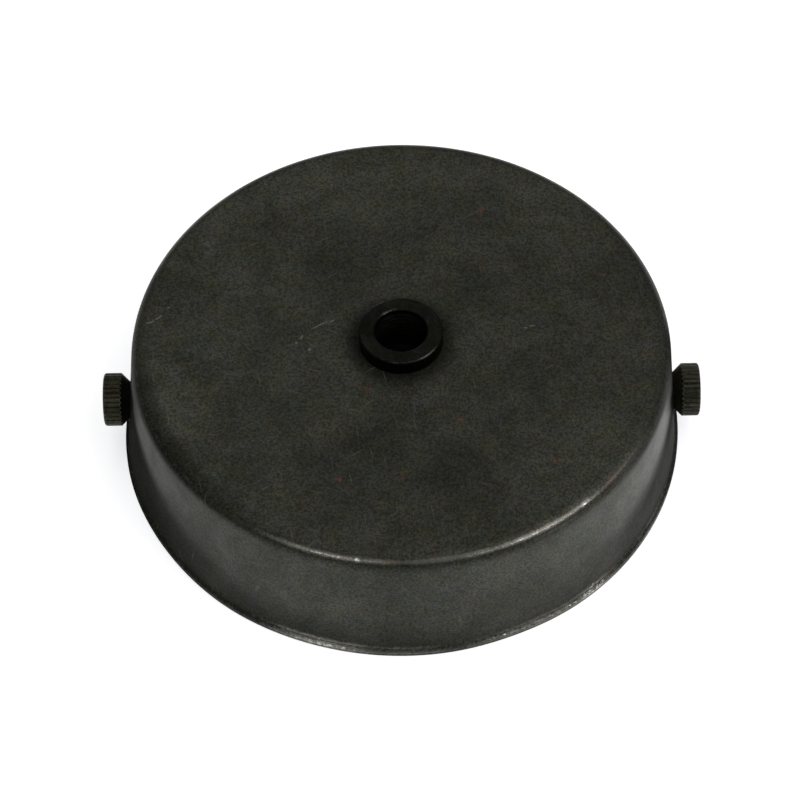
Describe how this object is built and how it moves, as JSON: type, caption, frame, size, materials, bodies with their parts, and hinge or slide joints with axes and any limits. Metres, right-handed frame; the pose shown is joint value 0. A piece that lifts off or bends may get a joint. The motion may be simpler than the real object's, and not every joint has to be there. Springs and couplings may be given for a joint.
{
  "type": "light fixture ceiling canopy",
  "caption": "Round pressed-metal ceiling canopy for a hanging light, with a central cord bush, knurled side screws and a mounting strap inside.",
  "frame": {"origin": "middle of the rim's plane, where the canopy meets the ceiling", "axes": "+Z out of the closed face along the cord, away from the ceiling; +X towards the thumb screw on the picture's right"},
  "size_m": [0.1066, 0.1, 0.0276],
  "materials": {
    "cup_finish": "blackened steel, mottled, rubbed bright along the rim and corner",
    "bush_finish": "blackened, satin",
    "screw_finish": "darkened brass, brown where the knurl is worn",
    "zinc_plate": "zinc plated, dull",
    "plain_brass": "plain turned brass"
  },
  "bodies": {
    "canopy": {"canopy_cup": "cup_finish", "cord_bush": "bush_finish", "bush_lock_washer": "zinc_plate", "bush_nut": "zinc_plate", "mounting_strap": "zinc_plate", "earth_clamp_washer": "plain_brass", "earth_screw": "plain_brass"},
    "left_screw": {"left_thumb_screw": "screw_finish"},
    "right_screw": {"right_thumb_screw": "screw_finish"}
  },
  "joints": [
    {"name": "left_screw_turn", "type": "hinge", "parent": "canopy", "child": "left_screw", "pos_m": [-0.05, 0, 0.0091], "axis": [-1, 0, 0], "continuous": true},
    {"name": "right_screw_turn", "type": "hinge", "parent": "canopy", "child": "right_screw", "pos_m": [0.05, 0, 0.0091], "axis": [1, 0, 0], "continuous": true}
  ]
}
